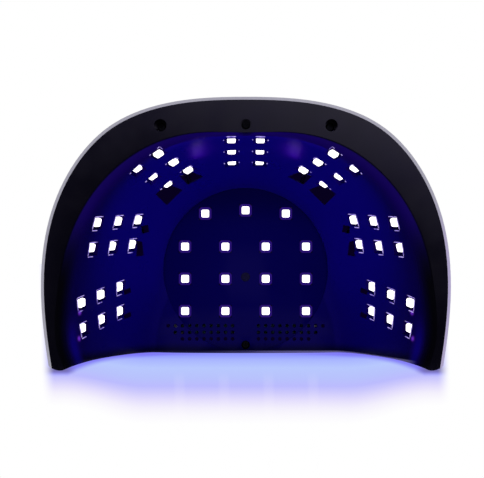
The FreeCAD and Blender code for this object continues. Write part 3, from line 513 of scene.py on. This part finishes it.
# lit edges of a window, each from one corner to another: (up the slope, across it), in window halves
EDGES_SIDE = [((-1, -1), (-1, 1)), ((-1, 1), (0.7, 1)), ((-1, -1.15), (0.1, -1.15))]
EDGES_SHOULDER = [((-1, 0.5), (-1, 1)), ((-1, 1), (-0.3, 1)), ((-1, -1), (-1, -0.7))]
EDGES_BACK = [((-0.75, -1.12), (-0.45, -1.12)), ((-0.75, 1.12), (-0.45, 1.12))]
EDGE_LOWEST = ((-1.75, -0.7), (-1.75, 0.7))     # below the lowest windows of the back wall


class WallLights:
    """One wall board's lights: centres, and directions up the slope, across it and to the hand."""

    def __init__(self, name):
        self.centres = lens_centres(NODES[name])
        self.lowest = min(centre.z for centre in self.centres)
        middle = sum(self.centres, Vector()) / len(self.centres)
        offsets = np.array([centre - middle for centre in self.centres])
        axes = np.linalg.svd(offsets)[2]
        self.up = Vector(axes[0]) * (1 if axes[0][2] > 0 else -1)
        self.across = Vector(axes[1]) * (1 if axes[1][1] > 0 else -1)
        self.front = Vector(axes[2])
        if self.front.dot(Vector(HAND_MIDDLE) - middle) < 0:
            self.front = -self.front

    def corner(self, centre, up, across):
        """A place at a window's edge, on the housing's surface just outside the window."""
        step = (self.up * up + self.across * across) * WINDOW_HALF
        outside = centre + step * OUTSIDE_WINDOW
        height = (on_wall(outside, self.front) - outside).dot(self.front)
        return centre + step + self.front * height


RAY_START = 7 * MM           # a ray towards the wall starts this far in front of the lights
RAY_REACH = 10 * MM
WALL_IN_FRONT = 0.8 * MM     # where a ray misses, the wall is taken to lie this far in front


def on_wall(point, front):
    """The housing's surface in front of or behind a point, along a board's front direction."""
    start = point + front * RAY_START
    hit, place, _, _ = NODES["inner_housing"].ray_cast(start, -front)
    if hit and (start - place).length < RAY_REACH:
        return place
    return point + front * WALL_IN_FRONT


def lit_edges(name, is_lowest):
    """Ends and thickness of the lit edges that a window of this board has."""
    if "shoulder" in name:
        edges = EDGES_SHOULDER
    elif name.startswith("back"):
        edges = EDGES_BACK
    else:
        edges = EDGES_SIDE
    lit = [(ends, GLINT_RADIUS) for ends in edges]
    if name.startswith("back") and is_lowest:
        lit.append((EDGE_LOWEST, THICK_GLINT))
    return lit


def tube(bm, a, b, radius):
    """A thin bar between two points, thinner towards its ends."""
    along = b - a
    side = along.orthogonal().normalized()
    other = along.cross(side).normalized()
    rings = []
    for share, size in GLINT_SHAPE:
        ring = []
        for k in range(GLINT_SIDES):
            angle = k * 2 * math.pi / GLINT_SIDES
            offset = (side * math.cos(angle) + other * math.sin(angle)) * radius * size
            ring.append(bm.verts.new(a + along * share + offset))
        rings.append(ring)
    for low, high in zip(rings, rings[1:]):
        for k in range(GLINT_SIDES):
            after = (k + 1) % GLINT_SIDES
            bm.faces.new((low[k], low[after], high[after], high[k]))
    bm.faces.new(rings[0])
    bm.faces.new(list(reversed(rings[-1])))


def lamp_piece(name, bm, material):
    """A finished mesh becomes a piece that rides on the lamp."""
    mesh = bpy.data.meshes.new(name)
    bm.to_mesh(mesh)
    bm.free()
    mesh.materials.append(material)
    obj = bpy.data.objects.new(name, mesh)
    bpy.context.scene.collection.objects.link(obj)
    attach(obj, "lamp")
    return mesh


def glint_material():
    """Lavender light on a polished edge, broken up along its length."""
    material, t = new_material("window_glint", lights_others=False)
    broken = t.noise(420.0, 3.0)
    tint = t.mix(t.remap(broken, 0.3, 0.65), colour(0.10, 0.06, 0.38), colour(0.50, 0.40, 0.90))
    t.finish(t.principled({
        "Base Color": colour(0.02, 0.015, 0.05),
        "Roughness": t.remap(broken, 0.3, 0.7, 0.2, 0.35),
        "Emission Color": tint,
        "Emission Strength": 1.0,
        "Normal": t.bump(broken, 0.2, 0.02 * MM),
    }))
    return material


def make_window_glints():
    """Thin lit edges where the windows' corners catch the light of their own lamps."""
    bm = bmesh.new()
    for name in NODES:
        if not name.endswith("_led_lenses") or name.startswith("ceiling"):
            continue
        lights = WallLights(name)
        for centre in lights.centres:
            for ends, radius in lit_edges(name, centre.z < lights.lowest + ROW_TOLERANCE):
                a, b = [lights.corner(centre, up, across) for up, across in ends]
                tube(bm, a, b, radius)
    mesh = lamp_piece("window_glints", bm, glint_material())
    for polygon in mesh.polygons:
        polygon.use_smooth = True


# ---------------------------------------------------------------- frames of the ceiling windows
FRAME_SIDES = 16
FRAME_CORNER = 1.32          # reach of a frame's blunted corners, in half widths
FRAME_OUTER = 3.85 * MM      # half widths of a frame
FRAME_MIDDLE = 3.2 * MM
FRAME_INNER = 2.6 * MM
FRAME_LOW = 0.5 * MM         # heights above the lenses' lowest point
FRAME_HIGH = 1.6 * MM
FRAME_DISH = 0.15 * MM
FRAME_TOP = FRAME_HIGH + 0.4 * MM


def reflector_material():
    """Dark satin frame, with a painted violet glow next to the lamp it surrounds."""
    material, t = new_material("lamp_reflector", lights_others=False)
    mottled = t.noise(700.0, 3.0)
    height = t.axes()[2]
    t.finish(t.principled({
        "Base Color": t.mix(mottled, colour(0.004, 0.001, 0.03), colour(0.008, 0.002, 0.05)),
        "Roughness": t.remap(mottled, 0.3, 0.7, 0.3, 0.45),
        "Specular IOR Level": 0.1,
        # painted glow of the lamp's light on the frame
        "Emission Color": colour(0.12, 0.03, 0.75),
        "Emission Strength": t.remap(height, 72.9 * MM, 74.2 * MM, 0.02, 0.16),
        "Normal": t.bump(mottled, 0.2, 0.02 * MM),
    }))
    return material


def frame_loop(bm, centre, half, z):
    """A ring of points on a square with blunted corners."""
    loop = []
    for k in range(FRAME_SIDES):
        angle = (k + 0.5) * 2 * math.pi / FRAME_SIDES
        to_square = 1 / max(abs(math.cos(angle)), abs(math.sin(angle)))
        reach = half * min(to_square, FRAME_CORNER)
        at = Vector((centre.x + math.cos(angle) * reach, centre.y + math.sin(angle) * reach, z))
        loop.append(bm.verts.new(at))
    return loop


def make_ceiling_reflectors():
    """A square frame fills each ceiling window round its lens, dished towards the lens."""
    profile = [
        (FRAME_OUTER, FRAME_LOW), (FRAME_MIDDLE, FRAME_LOW + FRAME_DISH), (FRAME_INNER, FRAME_HIGH),
        (FRAME_INNER, FRAME_TOP), (FRAME_OUTER, FRAME_TOP),
    ]
    bm = bmesh.new()
    lenses = NODES["ceiling_led_lenses"]
    apex = min(vertex.co.z for vertex in lenses.data.vertices)
    for centre in lens_centres(lenses):
        loops = [frame_loop(bm, centre, half, apex + z) for half, z in profile]
        for loop, after in zip(loops, loops[1:] + loops[:1]):
            for k in range(FRAME_SIDES):
                j = (k + 1) % FRAME_SIDES
                bm.faces.new((loop[k], loop[j], after[j], after[k]))
    bmesh.ops.recalc_face_normals(bm, faces=bm.faces)
    lamp_piece("ceiling_reflectors", bm, reflector_material())


# ---------------------------------------------------------------- stage
# the lens that gives the main view's perspective, and where it stands: below, looking straight up
CAMERA_LENS = 92.83
CAMERA_PLACE = (2.2 * MM, -2.8 * MM, -700 * MM)
FLOOR_REACH = 3.0
FLOOR_Y = CAD_BOX[0][1] - 0.1 * MM
TABLE_Z = CAD_BOX[0][2] - 0.1 * MM


def seen_from_below(t):
    """1 where the viewer is well below the point, as for the view into the lamp's underside."""
    incoming = t.add("ShaderNodeNewGeometry").outputs["Incoming"]
    up = t.add("ShaderNodeSeparateXYZ", {0: incoming}).outputs[2]
    return t.math("LESS_THAN", up, -0.15)


# colour of the glow on the standing floor, from just behind the front lip towards the viewer
GLOW_FROM = 92 * MM
GLOW_TO = -200 * MM
GLOW_STOPS = [
    (0.00, (0.30, 0.35, 1.00)), (0.09, (0.40, 0.47, 1.00)), (0.25, (0.48, 0.58, 0.99)),
    (0.43, (0.48, 0.54, 0.98)), (0.555, (0.50, 0.50, 0.99)), (0.64, (0.61, 0.585, 0.98)),
    (0.743, (0.775, 0.73, 0.98)), (0.836, (0.90, 0.87, 0.98)), (0.92, (0.965, 0.95, 0.99)),
    (1.00, (1.0, 1.0, 1.0)),
]
LIGHT_PITCH = 25 * MM        # between the columns of ceiling lights
EDGE_TOP = 110 * MM          # the band's height on the middle of the front edge
EDGE_DROP = 97 * MM          # and how much lower it is at the foot tips
FOOT_X = 105 * MM


def floor_glow(t, across, z):
    """The glow's colour, nearer to the viewer beside the foot tips."""
    toward_feet = t.remap(across, 56 * MM, 104 * MM, 0.0, 55 * MM)
    depth = t.remap(t.minus(z, toward_feet), GLOW_FROM, GLOW_TO, smooth=False)
    ramp = t.add("ShaderNodeValToRGB", {"Fac": depth})
    elements = ramp.color_ramp.elements
    while len(elements) < len(GLOW_STOPS):
        elements.new(0.5)
    for element, (place, tint) in zip(elements, GLOW_STOPS):
        element.position = place
        element.color = colour(*tint)
    return ramp.outputs[0]


def light_streaks(t, across, z):
    """Faint streaks below the columns of ceiling lights."""
    turns = t.times(t.minus(across, LIGHT_PITCH / 2), 2 * math.pi / LIGHT_PITCH)
    wave = t.remap(t.math("COSINE", turns), 0.55, 1.0)
    return t.times(wave, t.remap(across, 44 * MM, 52 * MM, 0.08, 0.0), t.remap(z, 10 * MM, -60 * MM))


def edge_glow_band(t, across, z):
    """A band of painted violet glow along the lamp's front edge, which drops towards the foot tips."""
    drop = t.math("POWER", t.remap(across, 62 * MM, 100 * MM, smooth=False), 1.8)
    edge = t.minus(EDGE_TOP, t.times(drop, EDGE_DROP))
    width = t.remap(across, 40 * MM, 75 * MM, 20 * MM, 44 * MM)
    band = t.remap(t.minus(edge, z), 6 * MM, width, 1.0, 0.0)
    return t.times(band, t.remap(across, 10 * MM, 60 * MM, 0.25, 0.9))


def contact_shadow(t, across, z):
    """A soft shadow where the foot tips touch the floor."""
    from_tip = t.math("ABSOLUTE", t.minus(across, FOOT_X))
    shadow = t.times(t.remap(from_tip, 11 * MM, 3 * MM), t.remap(z, -20 * MM, 6 * MM, 0.0, 0.8))
    return t.times(shadow, t.remap(z, 34 * MM, 16 * MM))


def standing_floor_material():
    """The pale floor that the foot tips stand on in the main view, washed by the violet light."""
    material, t = new_material("standing_floor")
    x, _, z = t.axes()
    # distance from the middle plane, as the camera sees it at the table's height
    distance = -CAMERA_PLACE[2]
    spread = t.math("DIVIDE", distance, t.math("ADD", z, distance))
    across = t.math("ABSOLUTE", t.times(x, spread))
    tint = t.mix(light_streaks(t, across, z), floor_glow(t, across, z), colour(1.0, 0.97, 1.0))
    tint = t.mix(edge_glow_band(t, across, z), tint, colour(0.21, 0.18, 0.94))
    tint = t.mix(contact_shadow(t, across, z), tint, colour(0.16, 0.14, 0.30))
    outside = t.remap(across, 107 * MM, 115 * MM)
    glow = t.emission(t.mix(outside, tint, colour(1, 1, 1)), 1.0)
    clear = t.add("ShaderNodeBsdfTransparent").outputs[0]
    t.finish(t.mix_shaders(seen_from_below(t), clear, glow))
    return material


def table_material():
    """The table top in the views from above, running into a white backdrop; nothing from below."""
    material, t = new_material("table_top")
    soft = t.noise(2.0, 2.0)
    top = t.principled({
        "Base Color": t.mix(soft, colour(0.86, 0.86, 0.87), colour(0.90, 0.90, 0.91)),
        "Roughness": 0.6,
        "Specular IOR Level": 0.0,
    })
    far = t.emission(colour(1, 1, 1), 1.0)
    top = t.mix_shaders(t.invert(t.near((0, 0, 0), 0.3, 0.9)), top, far)
    clear = t.add("ShaderNodeBsdfTransparent").outputs[0]
    t.finish(t.mix_shaders(seen_from_below(t), top, clear))
    return material


def plane(name, corners, material):
    """A flat sheet of the stage: the camera sees it and it takes shadows, but it lights nothing."""
    mesh = bpy.data.meshes.new(name)
    mesh.from_pydata([Vector(c) for c in corners], [], [(0, 1, 2, 3)])
    mesh.materials.append(material)
    obj = bpy.data.objects.new(name, mesh)
    bpy.context.scene.collection.objects.link(obj)
    obj.visible_diffuse = False
    obj.visible_glossy = False
    obj.visible_transmission = False
    obj.visible_shadow = False


def make_floors():
    r = FLOOR_REACH
    z = TABLE_Z
    plane("table", [(-r, -r, z), (r, -r, z), (r, r, z), (-r, r, z)], table_material())
    y = FLOOR_Y
    plane("standing_floor", [(-r, y, -r), (r, y, -r), (r, y, r), (-r, y, r)], standing_floor_material())


# ---------------------------------------------------------------- light
def make_world():
    """White to the camera; soft light from above and below, and a dim patch that the rim mirrors."""
    world = bpy.data.worlds.new("studio")
    bpy.context.scene.world = world
    world.use_nodes = True
    t = Tree(world.node_tree)
    direction = t.add("ShaderNodeTexCoord").outputs["Generated"]
    x, y, z = t.add("ShaderNodeSeparateXYZ", {0: direction}).outputs
    path = t.add("ShaderNodeLightPath").outputs
    # the sky is dimmer in front, so that the walls near the opening stay dark
    front_low = t.times(t.remap(y, -0.08, -0.3), t.remap(z, 0.99, 0.92))
    above = t.times(t.remap(z, 0.0, 0.5, 0.0, 0.78), t.invert(t.times(front_low, 0.9)))
    toward = t.minus(y, t.times(x, 0.3))
    patch = t.times(t.remap(toward, 0.04, 0.16, 0.04, 0.95), t.remap(z, -0.90, -0.975))
    soft_below = t.remap(z, -0.1, -0.6, 0.0, 0.75)
    glossy = path["Is Glossy Ray"]
    below = t.add("ShaderNodeMix", {"Factor": glossy, 2: soft_below, 3: patch}).outputs[0]
    mirrored = t.mix(t.remap(toward, 0.09, 0.14), colour(0.52, 0.44, 1.0), colour(0.80, 0.76, 1.0))
    below_tint = t.mix(glossy, colour(0.92, 0.90, 1.0), mirrored)
    tint = t.mix(t.remap(z, -0.2, 0.2), below_tint, colour(0.95, 0.95, 1.0))
    level = t.math("MAXIMUM", above, below)
    lit = t.add("ShaderNodeBackground", {"Color": tint, "Strength": level}).outputs[0]
    white = t.add("ShaderNodeBackground", {"Color": colour(1, 1, 1), "Strength": 1.0}).outputs[0]
    seen = t.mix_shaders(path["Is Camera Ray"], lit, white)
    t.add("ShaderNodeOutputWorld", {"Surface": seen})


# studio lights: name, place, width, power, colour
STUDIO_LIGHTS = [
    ("key", (0.8, -0.12, 1.2), 0.6, 10.0, (1.0, 0.99, 0.97)),
    ("fill", (-0.9, 0.0, 0.8), 0.8, 4.5, (0.96, 0.97, 1.0)),
    ("back", (0.2, 0.9, 0.7), 0.5, 5.0, (1.0, 1.0, 1.0)),
]
STUDIO_TARGET = (0, 0, 0.05)
# the lamp's own violet light: place and target in millimetres, width in millimetres, power
LAMP_BLUE = (0.05, 0.002, 1.0)
LAMP_LIGHTS = [
    ((0, -22, 69), (0, -22, 0), 85, 0.14),
    ((0, -12, 4), (0, -12, 80), 150, 0.14),
]
# warm light that turns the back wall violet in two soft streaks: places in millimetres
BACK_STREAKS = [(-27, 44.5, 16), (27, 44.5, 16)]
BACK_STREAK_TINT = (1.0, 0.6, 0.42)
BACK_STREAK_POWER = 0.0042
BACK_STREAK_SIZE = (5 * MM, 16 * MM)
WALL_NORMAL = Vector((0, 0.948, 0.319))


def area_light(name, place, target, size, power, tint):
    data = bpy.data.lights.new(name, "AREA")
    data.shape = "DISK"
    data.size = size
    data.energy = power
    data.color = tint
    obj = bpy.data.objects.new(name, data)
    bpy.context.scene.collection.objects.link(obj)
    obj.location = place
    obj.rotation_euler = (Vector(target) - Vector(place)).to_track_quat("-Z", "Y").to_euler()
    obj.visible_camera = False
    return obj


def make_lights():
    for name, place, size, power, tint in STUDIO_LIGHTS:
        area_light(name, place, STUDIO_TARGET, size, power, tint)
    for k, (place, target, size, power) in enumerate(LAMP_LIGHTS):
        place = Vector(place) * MM
        target = Vector(target) * MM
        light = area_light("lamp_glow_%d" % k, place, target, size * MM, power, LAMP_BLUE)
        light.visible_glossy = False
    for k, place in enumerate(BACK_STREAKS):
        place = Vector(place) * MM
        target = place + WALL_NORMAL
        width, height = BACK_STREAK_SIZE
        light = area_light("mirrored_%d" % k, place, target, width, BACK_STREAK_POWER, BACK_STREAK_TINT)
        light.data.shape = "RECTANGLE"
        light.data.size_y = height
        light.visible_glossy = False


def make_camera():
    data = bpy.data.cameras.new("camera")
    data.lens = CAMERA_LENS
    data.sensor_width = 36.0
    data.clip_start = 0.01
    obj = bpy.data.objects.new("camera", data)
    bpy.context.scene.collection.objects.link(obj)
    obj.location = CAMERA_PLACE
    obj.rotation_euler = (0, math.pi, 0)
    bpy.context.scene.camera = obj


def set_colours():
    """Colours are shown as they are, with no film look."""
    settings = bpy.context.scene.view_settings
    settings.view_transform = "Standard"
    settings.look = "None"


assign_materials()
make_window_glints()
make_ceiling_reflectors()
make_floors()
make_world()
make_lights()
make_camera()
set_colours()
